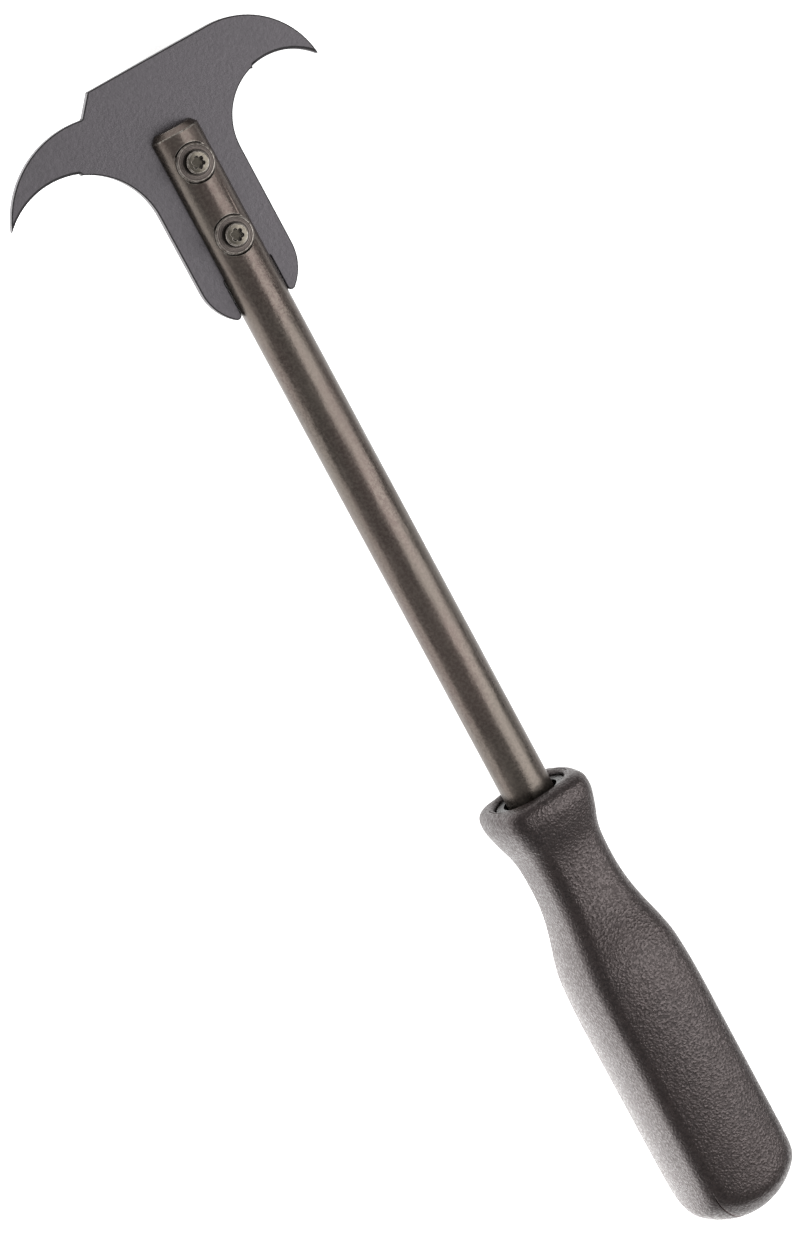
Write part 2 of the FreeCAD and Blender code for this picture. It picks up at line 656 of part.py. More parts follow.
def core_section(d, front, first, grow):
    """Half section of the core's round front part, as corners for draw_polygon.

    front is its front face and first its radius there; grow is added all round behind them."""
    _, _, ring, flange, sleeve = (
        (radius[0] + grow[0], f"{radius[1]} + {grow[1]}") for radius in core_radii(d)
    )
    flange_front = (grow[0] - d.flange_back, f"{grow[1]} - dims.flange_back")
    flange_rear = (
        -d.flange_back - d.flange_thickness - grow[0],
        f"-dims.flange_back - dims.flange_thickness - {grow[1]}",
    )
    straight = (-d.sleeve_back, "-dims.sleeve_back")
    block = (-d.block_back, "-dims.block_back")
    return (
        ((0, "0"), front),
        (first, front),
        (first, flange_front),
        (flange, flange_front),
        (flange, flange_rear),
        (ring, flange_rear),
        (sleeve, straight),
        (sleeve, block),
        ((0, "0"), block),
    )


def draw_flatted_circle(sketch, radius, across):
    """A circle cut by two level flats; radius and across, the flats' height, are (value, expression)."""
    reach = math.sqrt(radius[0] ** 2 - across[0] ** 2)
    corners = [Vector(x, y) for x, y in (
        (reach, -across[0]), (reach, across[0]), (-reach, across[0]), (-reach, -across[0])
    )]
    outline = Outline(sketch)
    right = outline.arc(Vector(0, 0), corners[0], corners[1], clockwise=False)
    upper = outline.line(corners[1], corners[2])
    left = outline.arc(Vector(0, 0), corners[2], corners[3], clockwise=False)
    lower = outline.line(corners[3], corners[0])
    outline.close()
    for arc in (right, left):
        hold(sketch, (arc, 3), "0", "0")
        hold_radius(sketch, arc, radius[1])
    hold(sketch, (upper, 1), y=across[1])
    level(sketch, upper)
    hold(sketch, (lower, 1), y=f"-({across[1]})")
    level(sketch, lower)


def build_core(doc, d):
    """Hard core of the handle: flanged mouth, thin sleeve in the neck, square block, and the shaft's bore."""
    body = new_body(doc, "handle_core")
    tail, tail_text = d.shaft_reach - d.shaft_length, "dims.shaft_reach - dims.shaft_length"
    front = (-d.core_back, "-dims.core_back")
    section = new_sketch(body, "core_section", "XY_Plane")
    radius, mouth, ring, _, _ = core_radii(d)
    draw_polygon(section, core_section(d, front, ring, (0, "0")))
    revolve(body, "core_sleeve", section)
    block = new_sketch(body, "core_block_outline", "XZ_Plane", "dims.block_back")
    draw_rounded_square(block, (d.block_half, "dims.block_half"), (d.block_round, "dims.block_round"))
    add_feature(body, "Pad", "core_block", block, Type="Length", Length="dims.block_end - dims.block_back")

    step = (tail + d.tail_flat_length - d.tail_gap, tail_text + " + dims.tail_flat_length - dims.tail_gap")
    cone = d.mouth_bore_back + d.mouth_cone_length
    bore = new_sketch(body, "bore_section", "XY_Plane")
    draw_polygon(
        bore,
        (
            ((0, "0"), (d.core_back, "dims.core_back")),
            (mouth, (d.core_back, "dims.core_back")),
            (mouth, (-d.mouth_bore_back, "-dims.mouth_bore_back")),
            (radius, (-cone, "-dims.mouth_bore_back - dims.mouth_cone_length")),
            (radius, step),
            ((0, "0"), step),
        ),
    )
    turn_away(body, "bore", bore)
    socket = new_sketch(body, "socket_outline", "XZ_Plane", f"-({step[1]})")
    socket.setExpression("AttachmentOffset.Rotation.Angle", "dims.blade_turn")
    across = (d.tail_across_flats / 2 + d.bore_clearance, "dims.tail_across_flats/2 + dims.bore_clearance")
    draw_flatted_circle(socket, radius, across)
    add_feature(
        body, "Pocket", "tail_socket", socket, cuts=True, Type="Length", Length="dims.tail_flat_length",
        Reversed=True,
    )
    place_body(body, turned=False)
    return body


def build_grip(doc, d):
    """Soft grip: lofted from the lip over the neck to a square body with a domed butt; hollow for the core."""
    body = new_body(doc, "grip")
    corner = (d.corner_round, "dims.corner_round")
    lip = new_sketch(body, "lip_outline", "XZ_Plane")
    draw_rounded_square(lip, (d.rim_half, "dims.rim_half"), corner)
    sections = []
    for name in GRIP_STATIONS:
        section = new_sketch(body, name + "_outline", "XZ_Plane", f"dims.{name}_back")
        draw_rounded_square(section, (getattr(d, name + "_half"), f"dims.{name}_half"), corner)
        section.Visibility = False
        sections.append(section)
    front = add_feature(body, "AdditiveLoft", "grip_front", lip, Sections=sections)

    rim = body.newObject("PartDesign::Fillet", "lip_rounding")
    rim.Base = (front, edges_where(front, lambda point: abs(point.y) < NEAR))
    rim.setExpression("Radius", "dims.lip_round")
    body.Tip = rim
    doc.recompute()

    straight = new_sketch(body, "straight_outline", "XZ_Plane", "dims.body_back")
    draw_rounded_square(straight, (d.body_half, "dims.body_half"), corner)
    add_feature(body, "Pad", "grip_body", straight, Type="Length", Length="dims.grip_length - dims.body_back")
    butt = new_sketch(body, "butt_section", "XY_Plane")
    draw_butt(butt, d)
    turn_away(body, "butt", butt)

    grow = (d.core_clearance, "dims.core_clearance")
    ring = core_radii(d)[2]
    mouth = (ring[0] + d.mouth_clearance, ring[1] + " + dims.mouth_clearance")
    hollow = new_sketch(body, "hollow_section", "XY_Plane")
    draw_polygon(hollow, core_section(d, (d.core_back, "dims.core_back"), mouth, grow))
    turn_away(body, "hollow", hollow)
    pocket = new_sketch(body, "block_pocket_outline", "XZ_Plane", "dims.block_back - dims.core_clearance")
    draw_rounded_square(
        pocket, (d.block_half + grow[0], "dims.block_half + dims.core_clearance"),
        (d.block_round + grow[0], "dims.block_round + dims.core_clearance"),
    )
    hollowed = add_feature(
        body, "Pocket", "block_pocket", pocket, cuts=True, Type="Length", Reversed=True,
        Length="dims.block_end - dims.block_back + 2*dims.core_clearance",
    )
    def on_mouth(point):
        """On the mouth's edge, where it meets the flat of the lip."""
        return abs(point.y) < NEAR and abs(math.hypot(point.x, point.z) - mouth[0]) < NEAR

    edge = body.newObject("PartDesign::Fillet", "mouth_edge")
    edge.Base = (hollowed, edges_where(hollowed, on_mouth))
    edge.setExpression("Radius", "dims.mouth_round")
    body.Tip = edge
    doc.recompute()
    place_body(body, turned=False)
    return body


def draw_butt(sketch, d):
    """Half section of what lies outside the butt: its side arc runs into the dome, with a block round both."""
    edge = (d.body_half - d.corner_round) * math.sqrt(2) + d.corner_round + d.butt_margin
    edge_text = "(dims.body_half - dims.corner_round)*sqrt(2) + dims.corner_round + dims.butt_margin"
    side, dome = edge * d.butt_side_ratio, edge * d.butt_dome_ratio
    rise = math.sqrt((dome - side) ** 2 - (edge - side) ** 2)
    dome_centre = Vector(0, dome - d.grip_length)
    side_centre = Vector(edge - side, dome_centre.y - rise)
    apex, outer = Vector(0, -d.grip_length), Vector(edge, side_centre.y)
    join = dome_centre + side_centre.sub(dome_centre).normalize() * dome
    far = 2 * d.body_half

    outline = Outline(sketch)
    crown = outline.arc(dome_centre, apex, join, clockwise=False)
    knuckle = outline.arc(side_centre, join, outer, clockwise=False, smooth=True)
    ledge = outline.line(outer, Vector(far, outer.y))
    wall = outline.line(Vector(far, outer.y), Vector(far, apex.y - far))
    floor = outline.line(Vector(far, apex.y - far), Vector(0, apex.y - far))
    outline.line(Vector(0, apex.y - far), apex)
    outline.close()
    hold(sketch, (crown, 1), "0", "-dims.grip_length")
    hold(sketch, (crown, 3), x="0")
    hold_radius(sketch, crown, f"({edge_text})*dims.butt_dome_ratio")
    hold_radius(sketch, knuckle, f"({edge_text})*dims.butt_side_ratio")
    hold(sketch, (ledge, 1), x=edge_text)
    sketch.addConstraint(Sketcher.Constraint("Horizontal", ledge))
    sketch.addConstraint(Sketcher.Constraint("Horizontal", knuckle, 2, knuckle, 3))
    hold(sketch, (wall, 1), x="2*dims.body_half")
    upright(sketch, wall)
    hold(sketch, (floor, 2), "0", "-dims.grip_length - 2*dims.body_half")
    level(sketch, floor)


def main():
    doc = FreeCAD.newDocument("seal_puller")
    sheet = make_sheet(doc)
    d = Dims(sheet)
    bodies = [build_blade(doc, d), build_shaft(doc, d), build_core(doc, d), build_grip(doc, d)]
    for label, (_, text) in zip(("front", "rear"), screw_places(d)):
        bodies.append(build_screw(doc, d, f"{label}_screw", text))
        bodies.append(build_washer(doc, d, f"{label}_washer", text))
    doc.recompute()
    for item in doc.Objects:
        if "Invalid" in item.State or "Error" in item.State:
            raise ValueError(f"{item.Name} failed: {item.State}")
    os.makedirs("parts", exist_ok=True)
    for body in bodies:
        shape = body.Shape
        if shape.isNull() or not shape.isValid():
            raise ValueError(f"{body.Label} is not a valid solid")
        print(body.Label, round(shape.Volume, 1), len(shape.Solids), shape.BoundBox)
        shape.exportStep(f"parts/{body.Label}.step")


main()
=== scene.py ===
"""Seal puller: soft-edged metal pieces, a pebbled moulded grip, their finishes, and a pale studio stage."""

import math

import bmesh
import bpy
import numpy as np
from bpy.props import FloatProperty, FloatVectorProperty, IntProperty, PointerProperty
from mathutils import Matrix, Vector


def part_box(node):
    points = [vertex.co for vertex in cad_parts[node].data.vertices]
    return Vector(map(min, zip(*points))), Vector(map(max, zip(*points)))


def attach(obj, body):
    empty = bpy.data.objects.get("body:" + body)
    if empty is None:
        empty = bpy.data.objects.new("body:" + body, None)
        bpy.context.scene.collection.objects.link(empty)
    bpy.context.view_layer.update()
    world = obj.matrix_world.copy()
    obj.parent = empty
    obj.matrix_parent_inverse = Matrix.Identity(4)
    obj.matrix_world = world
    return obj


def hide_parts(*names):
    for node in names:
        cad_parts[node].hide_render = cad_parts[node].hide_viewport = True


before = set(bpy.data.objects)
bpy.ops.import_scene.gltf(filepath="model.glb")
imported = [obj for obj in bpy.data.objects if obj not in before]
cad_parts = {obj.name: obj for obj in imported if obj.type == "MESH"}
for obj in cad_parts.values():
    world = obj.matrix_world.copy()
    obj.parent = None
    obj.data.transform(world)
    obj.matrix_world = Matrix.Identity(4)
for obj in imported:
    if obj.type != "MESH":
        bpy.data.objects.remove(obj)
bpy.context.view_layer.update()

bl_info = {
    "name": "Seal Puller",
    "version": (1, 0, 0),
    "blender": (4, 5, 0),
    "location": "View3D > Sidebar > Seal Puller",
    "description": "Builds a double-hooked seal puller with its finishes and a studio stage",
    "category": "Object",
}

MM = 0.001

GRIP_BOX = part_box("grip")
LIP = GRIP_BOX[1][1]
GRIP_LENGTH = GRIP_BOX[1][1] - GRIP_BOX[0][1]
BODY_HALF = (GRIP_BOX[1][0] - GRIP_BOX[0][0]) / 2
AXIS_HEIGHT = (GRIP_BOX[0][2] + GRIP_BOX[1][2]) / 2
WASHERS = tuple(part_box(name) for name in ("front_washer", "rear_washer"))
WASHER_PLACES = tuple((box[0][1] + box[1][1]) / 2 for box in WASHERS)
SCREW_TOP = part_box("front_screw")[1][2]

# The heights between which a screw's recess is painted dark as shade, and the spacing of the washers' turned
# rings.
RECESS_DARK = (SCREW_TOP - 0.6 * MM, SCREW_TOP - 0.15 * MM)
RING_PITCH = 0.36 * MM

# What counts as one point, as one plane and as a sharp edge when a CAD mesh is merged and rounded.
SAME_POINT = 0.002 * MM
SAME_PLANE = math.radians(0.4)
SHARP = math.radians(28)

# The grip's flats: distance back from the lip and half width, both in millimetres.
GRIP_SIDE = (
    (3.1, 12.2), (4.6, 12.25), (9.0, 11.35), (14.6, 9.75), (22.6, 9.2), (31.0, 9.7), (36.8, 10.8),
    (42.0, 12.15), (47.0, 13.2), (53.0, 13.72), (60.0, 13.97), (68.0, 14.0),
)
# The hollow that holds the core, first its round part and then its square part, in millimetres: radius or
# share of the square's size, and distance back from the lip.
ROUND_HOLLOW = (
    (9.6, 2.4), (9.6, 3.9), (10.7, 3.9), (10.7, 6.5), (9.3, 6.5), (7.9, 12.5), (7.9, 28.0), (7.9, 45.9),
)
SQUARE_HOLLOW = ((1.0, 45.9), (1.0, 60.0), (1.0, 80.0), (1.0, 108.1), (0.5, 108.1))
SQUARE_HOLLOW_HALF = 9.7 * MM
SQUARE_HOLLOW_CORNER = 2.6 * MM
FLAT_SIDE_RADIUS = 2.0
# How far the butt's arcs reach past the corners of the plain square.
BUTT_MARGIN = 0.1 * MM
# The most of the lip's wall that its outer and inner roundings may take.
OUTER_SHARE, INNER_SHARE = 0.72, 0.28
# Where the close rows along the grip's neck give way to wider ones along its body.
NECK_END = 60 * MM
# Stations along each stretch of the grip, with the one it shares with the stretch before.
BUTT_ROWS, BODY_ROWS, NECK_ROWS = 72, 34, 110
LIP_ROWS, RIM_ROWS, MOUTH_ROWS = 15, 6, 9

# The mould's parting line runs over the butt from the grip's upper left corner to its lower right one.
SEAM_TURN = 0.75 * math.pi
SEAM_WIDTH = 0.16 * MM
SEAM_END = 13 * MM
SEAM_FADE = 4 * MM
# Its painted shade, darkest along the groove's centre, fades between these distances from it, and ends
# between these places along the grip.
SEAM_DARK = (0.10 * MM, 0.26 * MM)
SEAM_DARK_END = (GRIP_BOX[0][1] + 11 * MM, GRIP_BOX[0][1] + 15 * MM)

# The camera looks down on the tool, leaning to its left and to the far side of its hooks.
CAMERA_LEFT_LEAN = math.radians(20.0)
CAMERA_FAR_LEAN = math.radians(12.0)
VIEW_MIDDLE = Vector((0.0, 0.1324, AXIS_HEIGHT))
VIEW_SHIFT = -7.4 * MM
KEY_TOWARDS = Vector((0.45, -0.208, 0.868))
KEY_DISTANCE, KEY_SIZE = 0.8, (0.52, 0.80)
BACK_PLACE, BACK_SIZE = (0.05, 1.05, 0.20), (0.80, 0.30)

# The floor lies just under the grip, whose sides bulge below the tool's rest plane.
FLOOR_HEIGHT = -0.9 * MM
FLOOR_SIDES = (-2.0, 2.0)
FLOOR_ENDS = (-2.0, 2.4)
FLOOR_SQUARES = 8
# Where its glow changes: under the tool, beside the handle, along the tool at the lip, and at the butt.
GLOW_RIGHT = (-20 * MM, 12 * MM)
GLOW_CLOSE = (-80 * MM, -35 * MM)
GLOW_HANDLE = (LIP - 45 * MM, LIP - 10 * MM)
GLOW_BEYOND = (GRIP_BOX[0][1] - 45 * MM, GRIP_BOX[0][1] + 15 * MM)


# ---------------------------------------------------------------- sizes and colours

class GripSizes(bpy.types.PropertyGroup):
    """Sizes of the moulded grip."""

    corner: FloatProperty(
        name="Corner radius", description="Rounding of the grip's four long corners",
        default=5.5 * MM, min=0.5 * MM, max=8 * MM, unit="LENGTH",
    )
    bulge: FloatProperty(
        name="Side radius", description="Radius of the slight bulge across each of the grip's four sides",
        default=38.0 * MM, min=30 * MM, max=2000 * MM, unit="LENGTH",
    )
    proud: FloatProperty(
        name="Side rise", description="How far the middle of each side stands out from the plain flat",
        default=0.8 * MM, min=0.0, max=1 * MM, unit="LENGTH",
    )
    lip_round: FloatProperty(
        name="Lip rounding", description="Rounding of the outside of the lip",
        default=3.1 * MM, min=0.5 * MM, max=6 * MM, unit="LENGTH",
    )
    mouth_round: FloatProperty(
        name="Mouth rounding", description="Rounding of the mouth's edge",
        default=1.1 * MM, min=0.1 * MM, max=2 * MM, unit="LENGTH",
    )
    mouth_radius: FloatProperty(
        name="Mouth radius", description="Radius of the opening in the lip",
        default=9.6 * MM, min=8 * MM, max=12 * MM, unit="LENGTH",
    )
    butt_side: FloatProperty(
        name="Butt side radius", description="Arc between the grip's sides and its domed end",
        default=14.1 * MM, min=2 * MM, max=17 * MM, unit="LENGTH",
    )
    butt_dome: FloatProperty(
        name="Butt dome radius", description="Radius of the domed end",
        default=18.65 * MM, min=18 * MM, max=60 * MM, unit="LENGTH",
    )
    butt_blend: FloatProperty(
        name="Butt blend", description="How far the flats and the butt melt into each other",
        default=1.5 * MM, min=0.05 * MM, max=3 * MM, unit="LENGTH",
    )
    seam_depth: FloatProperty(
        name="Parting line depth", description="Depth of the mould's parting line over the butt",
        default=0.16 * MM, min=0.0, max=0.5 * MM, unit="LENGTH",
    )
    columns: IntProperty(
        name="Columns", description="Points round the grip", default=256, min=64, max=320,
    )


class MetalSizes(bpy.types.PropertyGroup):
    """How far the metal pieces' edges are softened."""

    blade_edge: FloatProperty(
        name="Blade edge", description="Rounding of the stamped blade's edges",
        default=0.33 * MM, min=0.02 * MM, max=0.8 * MM, unit="LENGTH",
    )
    shaft_edge: FloatProperty(
        name="Shaft edge", description="Rounding of the shaft's machined edges",
        default=0.22 * MM, min=0.02 * MM, max=0.5 * MM, unit="LENGTH",
    )
    fastener_edge: FloatProperty(
        name="Screw and washer edge", description="Rounding of the screws' and washers' edges",
        default=0.14 * MM, min=0.02 * MM, max=0.3 * MM, unit="LENGTH",
    )


class FinishColours(bpy.types.PropertyGroup):
    """The colours of the finishes."""

    blade: FloatVectorProperty(
        name="Blade", description="Satin oxide finish of the blade",
        default=(0.078, 0.071, 0.078), size=3, min=0, max=1, subtype="COLOR",
    )
    shaft: FloatVectorProperty(
        name="Shaft", description="Gun-metal finish of the shaft",
        default=(0.092, 0.078, 0.067), size=3, min=0, max=1, subtype="COLOR",
    )
    shaft_tint: FloatVectorProperty(
        name="Shaft tint", description="Brown tint in the shaft's oxide",
        default=(0.080, 0.054, 0.050), size=3, min=0, max=1, subtype="COLOR",
    )
    washer: FloatVectorProperty(
        name="Washers", description="Dark oxide on the turned washers",
        default=(0.052, 0.044, 0.040), size=3, min=0, max=1, subtype="COLOR",
    )
    screw: FloatVectorProperty(
        name="Screws", description="Light plating of the screw heads",
        default=(0.165, 0.148, 0.122), size=3, min=0, max=1, subtype="COLOR",
    )
    worn: FloatVectorProperty(
        name="Worn edges", description="Bare steel where the edges of turned pieces are worn",
        default=(0.23, 0.21, 0.19), size=3, min=0, max=1, subtype="COLOR",
    )
    core: FloatVectorProperty(
        name="Core", description="Hard black plastic of the handle's core",
        default=(0.010, 0.0095, 0.009), size=3, min=0, max=1, subtype="COLOR",
    )
    grip: FloatVectorProperty(
        name="Grip", description="Black-brown of the moulded grip",
        default=(0.0090, 0.0062, 0.0060), size=3, min=0, max=1, subtype="COLOR",
    )
    grip_patch: FloatVectorProperty(
        name="Grip patches", description="Browner patches in the moulded grip",
        default=(0.0125, 0.0072, 0.0062), size=3, min=0, max=1, subtype="COLOR",
    )


class StageSettings(bpy.types.PropertyGroup):
    """Floor, lights and camera."""

    floor: FloatVectorProperty(
        name="Floor", description="Colour of the pale floor",
        default=(0.90, 0.90, 0.895), size=3, min=0, max=1, subtype="COLOR",
    )
    sky: FloatProperty(
        name="Room light", description="Strength of the even light from all sides",
        default=0.6, min=0, max=5,
    )
    key_power: FloatProperty(
        name="Key light", description="Power of the soft box on the right",
        default=6.0, min=0, max=500, unit="POWER",
    )
    glow: FloatProperty(
        name="Floor glow", description="Light given off by the floor on the handle's left",
        default=3.5, min=0, max=10,
    )
    glow_shaft: FloatProperty(
        name="Floor glow, shaft",
        description="Share of that light given off by the floor on the shaft's left",
        default=0.6, min=0, max=1, subtype="FACTOR",
    )
    glow_right: FloatProperty(
        name="Floor glow, right",
        description="Share of that light given off by the floor on the tool's right",
        default=0.17, min=0, max=1, subtype="FACTOR",
    )
    back_power: FloatProperty(
        name="Back light", description="Power of the low soft box beyond the hooks",
        default=1.6, min=0, max=500, unit="POWER",
    )
    lens: FloatProperty(
        name="Lens", description="Focal length in millimetres", default=131.34, min=20, max=400,
    )
    distance: FloatProperty(
        name="Camera distance", description="Camera to the middle of the view",
        default=1.094, min=0.2, max=5, unit="LENGTH",
    )
    roll: FloatProperty(
        name="Camera roll", description="How far the shaft leans in the picture",
        default=math.radians(28.38), min=-math.pi, max=math.pi, subtype="ANGLE",
    )


# ---------------------------------------------------------------- materials

class Wire:
    """One output of a shader node. Arithmetic on it adds Math nodes to the same finish."""

    def __init__(self, finish, socket):
        self.finish = finish
        self.socket = socket

    def _math(self, operation, first, second=None):
        values = {0: first} if second is None else {0: first, 1: second}
        return self.finish.node("ShaderNodeMath", {"operation": operation}, values)

    def __add__(self, other):
        return self._math("ADD", self, other)

    __radd__ = __add__

    def __sub__(self, other):
        return self._math("SUBTRACT", self, other)

    def __rsub__(self, other):
        return self._math("SUBTRACT", other, self)

    def __mul__(self, other):
        return self._math("MULTIPLY", self, other)

    __rmul__ = __mul__

    def root(self):
        return self._math("SQRT", self)

    def size(self):
        return self._math("ABSOLUTE", self)

    def least(self, other):
        return self._math("MINIMUM", self, other)

    def greatest(self, other):
        return self._math("MAXIMUM", self, other)

    def sine(self):
        return self._math("SINE", self)


class Finish:
    """A material with one Principled shader; constants are set on the shader's own sockets."""

    def __init__(self, name, **constants):
        self.material = bpy.data.materials.new(name)
        self.material.use_nodes = True
        self.tree = self.material.node_tree
        self.tree.nodes.clear()
        self.shader = self.tree.nodes.new("ShaderNodeBsdfPrincipled")
        output = self.tree.nodes.new("ShaderNodeOutputMaterial")
        self.tree.links.new(self.shader.outputs[0], output.inputs["Surface"])
        for socket, value in constants.items():
            self.shader.inputs[socket.replace("_", " ")].default_value = value
        self.place = self.node("ShaderNodeTexCoord", output="Object")

    def node(self, kind, settings=None, sockets=None, output=0):
        """Adds a node: its settings first, and then its sockets' values or links, by index or name."""
        node = self.tree.nodes.new(kind)
        for key, value in (settings or {}).items():
            setattr(node, key, value)
        for key, value in (sockets or {}).items():
            self._feed(node.inputs[key], value)
        return Wire(self, node.outputs[output])

    def _feed(self, socket, value):
        if isinstance(value, Wire):
            self.tree.links.new(value.socket, socket)
        else:
            socket.default_value = value

    def feed(self, **sockets):
        """Links or sets the shader's sockets; an underscore stands for a space."""
        for key, value in sockets.items():
            self._feed(self.shader.inputs[key.replace("_", " ")], value)

    def noise(self, scale, detail=2.0, roughness=0.5, place=None, distortion=0.0):
        """Even noise from 0 to 1; scale is in features a metre."""
        return self.node(
            "ShaderNodeTexNoise", None,
            {"Vector": place or self.place, "Scale": scale, "Detail": detail, "Roughness": roughness,
             "Distortion": distortion},
        )

    def stretched(self, along):
        """Object coordinates squeezed along Y, so that a pattern on them is drawn out along the shaft."""
        return self.node(
            "ShaderNodeMapping", {"vector_type": "POINT"},
            {"Vector": self.place, "Scale": (1.0, along, 1.0)},
        )

    def ease(self, value, low, high, to_low=0.0, to_high=1.0):
        """Smooth step of a value from low..high to to_low..to_high."""
        return self.node(
            "ShaderNodeMapRange", {"interpolation_type": "SMOOTHSTEP"},
            {0: value, 1: low, 2: high, 3: to_low, 4: to_high},
        )

    def blend(self, factor, first, second):
        """Mixes two colours."""
        return self.node("ShaderNodeMix", {"data_type": "RGBA"}, {0: factor, 6: first, 7: second}, output=2)

    def axes(self):
        """The X, Y and Z of the object coordinates."""
        split = self.node("ShaderNodeSeparateXYZ", None, {0: self.place})
        outputs = split.socket.node.outputs
        return tuple(Wire(self, outputs[index]) for index in range(3))

    def relief(self, height, distance, strength=1.0, under=None):
        """A Bump node; distance is in metres, and under is a coarser relief below this one."""
        sockets = {"Height": height, "Distance": distance, "Strength": strength}
        if under is not None:
            sockets["Normal"] = under
        return self.node("ShaderNodeBump", None, sockets)


def opaque(colour, gain=1.0):
    """A colour property as four numbers, made lighter or darker by gain."""
    return tuple(min(1.0, channel * gain) for channel in colour) + (1.0,)


def blade_finish(colours):
    """Satin oxide on stamped plate: fine orange peel, faint clouds and a few darker specks."""
    finish = Finish("blade_satin_oxide", Metallic=0.55, IOR=1.5)
    clouds = finish.noise(55.0, detail=3.0, roughness=0.6)
    peel = finish.noise(1000.0, detail=3.0, roughness=0.6)
    grit = finish.noise(4200.0, detail=1.0)
    specks = finish.ease(finish.noise(900.0, detail=2.0, roughness=0.7), 0.66, 0.76)
    lighter = finish.ease(clouds, 0.3, 0.7)
    tone = finish.blend(lighter, opaque(colours.blade, 0.9), opaque(colours.blade, 1.1))
    tone = finish.blend(finish.ease(peel, 0.25, 0.75) * 0.55, tone, opaque(colours.blade, 0.78))
    tone = finish.blend(specks * 0.45, tone, opaque(colours.blade, 0.55))
    coarse = finish.relief(clouds, 0.00025, strength=0.35)
    finish.feed(
        Base_Color=tone,
        Roughness=finish.ease(clouds, 0.2, 0.8, 0.40, 0.50) + (grit - 0.5) * 0.08,
        Normal=finish.relief(peel * 0.8 + grit * 0.2, 0.00011, strength=0.8, under=coarse),
    )
    return finish.material


def shaft_finish(colours):
    """Gun-metal oxide on drawn bar: clouds and streaks along the bar, brown tints, and a fine mottle."""
    finish = Finish("shaft_gun_metal", Metallic=0.85, IOR=1.5)
    drawn = finish.stretched(0.18)
    clouds = finish.noise(190.0, detail=4.0, roughness=0.62, place=drawn, distortion=0.4)
    streaks = finish.noise(1500.0, detail=3.0, roughness=0.6, place=finish.stretched(0.05))
    waves = finish.noise(230.0, detail=2.0, roughness=0.5, place=finish.stretched(0.35))
    grit = finish.noise(1500.0, detail=3.0, roughness=0.62)
    marks = finish.ease(finish.noise(520.0, detail=4.0, roughness=0.7), 0.58, 0.70)
    tint = finish.ease(finish.noise(75.0, detail=3.0, roughness=0.6, place=drawn), 0.42, 0.68)
    lighter = finish.ease(clouds, 0.3, 0.7)
    tone = finish.blend(lighter, opaque(colours.shaft, 0.64), opaque(colours.shaft, 1.10))
    tone = finish.blend(tint * 0.55, tone, opaque(colours.shaft_tint))
    tone = finish.blend(streaks * 0.3, tone, opaque(colours.shaft, 0.62))
    tone = finish.blend(marks * 0.35, tone, opaque(colours.shaft, 0.5))
    tone = finish.blend(finish.ease(grit, 0.40, 0.62) * 0.5, tone, opaque(colours.shaft, 1.35))
    uneven = finish.relief(waves, 0.0011, strength=0.22)
    finish.feed(
        Base_Color=tone,
        Roughness=finish.ease(clouds, 0.25, 0.75, 0.27, 0.40) + (grit - 0.5) * 0.20,
        Normal=finish.relief(streaks * 0.3 + grit * 0.7, 0.00007, strength=0.7, under=uneven),
    )
    return finish.material


def dark_edge_finish(colours):
    """The stamped plate's rounded edge, painted near black as a dark shaded line along the rounding, and
    rough from the shear.
    """
    finish = Finish("blade_dark_edge", Metallic=0.2, IOR=1.5, Roughness=0.6, Specular_IOR_Level=0.25)
    shear = finish.noise(1800.0, detail=2.0, roughness=0.6)
    # Painted shade: the rounded edge is coloured near black as a dark line along the plate's outline.
    tone = finish.blend(shear, opaque(colours.blade, 0.12), opaque(colours.blade, 0.4))
    finish.feed(Base_Color=tone, Normal=finish.relief(shear, 0.00004, strength=0.5))
    return finish.material


def worn_edge_finish(colours):
    """Edge of a turned piece where the oxide has worn through to the steel here and there."""
    finish = Finish("worn_steel_edge", Metallic=0.9, IOR=1.5)
    wear = finish.noise(1100.0, detail=3.0, roughness=0.6)
    tone = finish.blend(finish.ease(wear, 0.35, 0.6), opaque(colours.shaft, 1.0), opaque(colours.worn))
    finish.feed(
        Base_Color=tone,
        Roughness=0.26 + wear * 0.2,
        Normal=finish.relief(wear, 0.00002, strength=0.4),
    )
    return finish.material


def washer_finish(colours):
    """Dark oxide on a turned face: fine rings round the screw's axis, with lighter and darker turns."""
    finish = Finish("washer_turned_oxide", Metallic=0.9, IOR=1.5)
    x, y = finish.axes()[:2]
    near = (y - WASHER_PLACES[0]).size().least((y - WASHER_PLACES[1]).size())
    middle = (WASHERS[0][0][0] + WASHERS[0][1][0]) / 2
    away = x - middle
    radius = (near * near + away * away).root()
    rings = (radius * (2 * math.pi / RING_PITCH)).sine() * 0.5 + 0.5
    outwards = finish.node("ShaderNodeCombineXYZ", None, {0: radius * 2600.0, 1: 0.3, 2: 0.7})
    broad = finish.noise(1.0, detail=2.0, place=outwards)
    grit = finish.noise(3200.0, detail=2.0)
    lighter = finish.ease(broad, 0.42, 0.58)
    tone = finish.blend(lighter, opaque(colours.washer, 0.6), opaque(colours.washer, 1.9))
    tone = finish.blend(grit * 0.3, tone, opaque(colours.washer, 0.5))
    finish.feed(
        Base_Color=tone,
        Roughness=0.26 + broad * 0.16,
        Normal=finish.relief(rings * 0.7 + grit * 0.3, 0.00004, strength=0.8),
    )
    return finish.material


